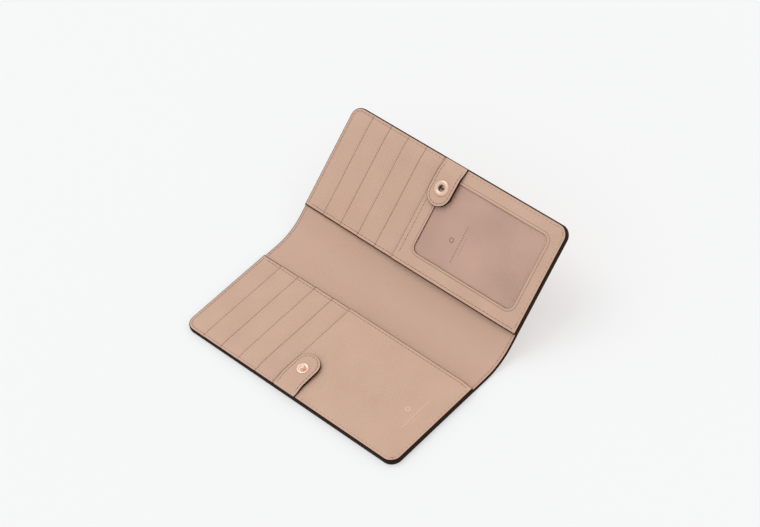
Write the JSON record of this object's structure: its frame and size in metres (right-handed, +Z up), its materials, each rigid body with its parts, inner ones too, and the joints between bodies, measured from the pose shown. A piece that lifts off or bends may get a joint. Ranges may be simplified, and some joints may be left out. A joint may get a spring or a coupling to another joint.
{
  "type": "long wallet",
  "caption": "Long folding leather wallet lying partly open on one half, with stepped card slots, a clear window pocket and snap tabs.",
  "frame": {"origin": "centre of the lower half's underside, on which the wallet lies", "axes": "+X along the spine towards the window end, +Y across the wallet from the lower half to the raised half, +Z up"},
  "size_m": [0.171, 0.1635, 0.0613],
  "materials": {
    "outer_leather": "fine crosshatch grain, semi-matt",
    "lining_leather": "smooth with a faint grain, semi-matt",
    "pocket_leather": "fine crosshatch grain, semi-matt",
    "edge_paint": "dark painted edge, satin",
    "thread": "waxed polyester thread",
    "board": "plain, hidden",
    "window_film": "clear, gloss",
    "snap_metal": "polished, rose gold plated",
    "spring_steel": "bright",
    "foil": "stamped foil"
  },
  "bodies": {
    "lower_half": {"lower_outer_leather": "outer_leather", "lower_stiffener_board": "board", "lower_lining": "lining_leather", "lower_side_welt": "pocket_leather", "lower_pocket_back": "pocket_leather", "lower_card_leaf_1": "pocket_leather", "lower_card_leaf_2": "pocket_leather", "lower_card_leaf_3": "pocket_leather", "lower_card_leaf_4": "pocket_leather", "lower_front_panel": "pocket_leather", "lower_edge_coat": "edge_paint", "lower_seam_thread": "thread", "foil_mark": "foil"},
    "spine": {"spine_leather": "outer_leather", "spine_lining": "lining_leather", "spine_edge_coat": "edge_paint"},
    "upper_half": {"upper_outer_leather": "outer_leather", "upper_stiffener_board": "board", "upper_lining": "lining_leather", "upper_side_welt": "pocket_leather", "upper_pocket_back": "pocket_leather", "upper_card_leaf_1": "pocket_leather", "upper_card_leaf_2": "pocket_leather", "upper_card_leaf_3": "pocket_leather", "upper_card_leaf_4": "pocket_leather", "window_backing": "pocket_leather", "window_film": "window_film", "window_frame": "pocket_leather", "upper_edge_coat": "edge_paint", "upper_seam_thread": "thread"},
    "lower_tab": {"lower_tab_top_leather": "pocket_leather", "lower_tab_back_leather": "pocket_leather", "lower_tab_edge_coat": "edge_paint", "lower_tab_thread": "thread", "snap_stud": "snap_metal", "stud_post": "snap_metal"},
    "upper_tab": {"upper_tab_top_leather": "pocket_leather", "upper_tab_back_leather": "pocket_leather", "upper_tab_edge_coat": "edge_paint", "upper_tab_thread": "thread", "snap_socket": "snap_metal", "socket_spring": "spring_steel", "socket_cap": "snap_metal"}
  },
  "joints": [
    {"name": "lower_crease", "type": "hinge", "parent": "lower_half", "child": "spine", "pos_m": [0, 0.0416, 0.0021], "axis": [1, 0, 0], "range_deg": [-20.41, 75.5]},
    {"name": "upper_crease", "type": "hinge", "parent": "spine", "child": "upper_half", "pos_m": [0, 0.05533, 0.00565], "axis": [1, 0, 0], "range_deg": [-17.89, 66.2]},
    {"name": "lower_tab_lift", "type": "hinge", "parent": "lower_half", "child": "lower_tab", "pos_m": [-0.0013, -0.0416, 0.0054], "axis": [1, 0, 0], "range_deg": [-2, 0.7]},
    {"name": "upper_tab_lift", "type": "hinge", "parent": "upper_half", "child": "upper_tab", "pos_m": [-0.0013, 0.11857, 0.05981], "axis": [-1, 0, 0], "range_deg": [-2, 0.7]}
  ]
}
